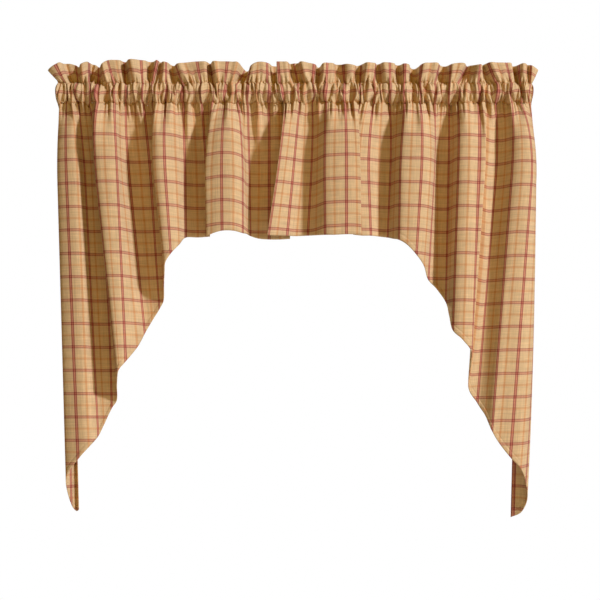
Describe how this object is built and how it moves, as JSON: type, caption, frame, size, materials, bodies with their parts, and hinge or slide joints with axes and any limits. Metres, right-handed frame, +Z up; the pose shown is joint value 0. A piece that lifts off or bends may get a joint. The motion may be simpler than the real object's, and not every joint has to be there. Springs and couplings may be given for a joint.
{
  "type": "window swag",
  "caption": "Gathered woven-check window swag in two panels with a ruffled rod-pocket heading, a short middle and long tapered outer tails.",
  "frame": {"origin": "rod line: the top inside face of the rod pocket, in the middle of the swag's width", "axes": "+X to the right as seen from the room, +Y towards the window, +Z up"},
  "size_m": [0.9855, 0.0835, 0.922],
  "materials": {
    "check_cloth": "matt woven cotton in tan, with a dark red and orange check"
  },
  "bodies": {
    "root": {"left_heading": "check_cloth", "left_swag": "check_cloth", "right_heading": "check_cloth", "right_swag": "check_cloth"}
  },
  "joints": []
}
